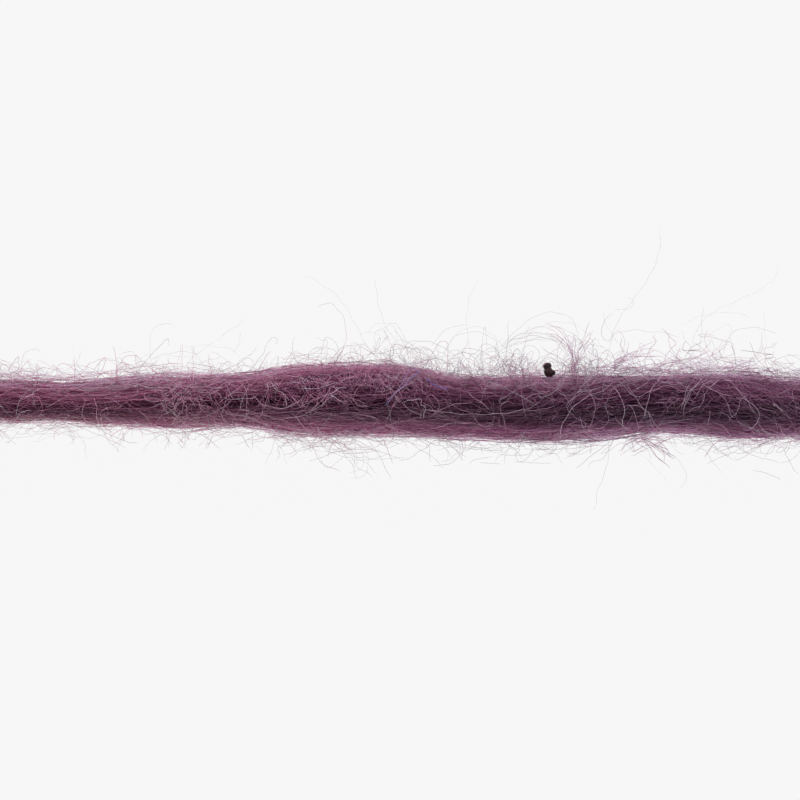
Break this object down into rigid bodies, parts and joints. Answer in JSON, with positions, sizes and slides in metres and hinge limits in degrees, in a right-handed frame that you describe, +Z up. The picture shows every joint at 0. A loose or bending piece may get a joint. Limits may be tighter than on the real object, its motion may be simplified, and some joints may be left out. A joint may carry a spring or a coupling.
{
  "type": "cut length of single-ply knitting yarn",
  "caption": "Straight cut length of soft, thick-and-thin single-ply wool knitting yarn in heathered plum, with a halo of loose fibres, resting on its slightly flattened underside.",
  "frame": {"origin": "on the flat strip of the underside, halfway along the strand", "axes": "+X along the strand, +Y across it on the side with the longest stray fibres, +Z up from the surface it rests on"},
  "size_m": [0.036, 0.0106, 0.0033],
  "materials": {
    "wool": "softly spun wool, matt, heathered plum with mauve and violet fibres"
  },
  "bodies": {
    "root": {"strand": "wool"}
  },
  "joints": []
}
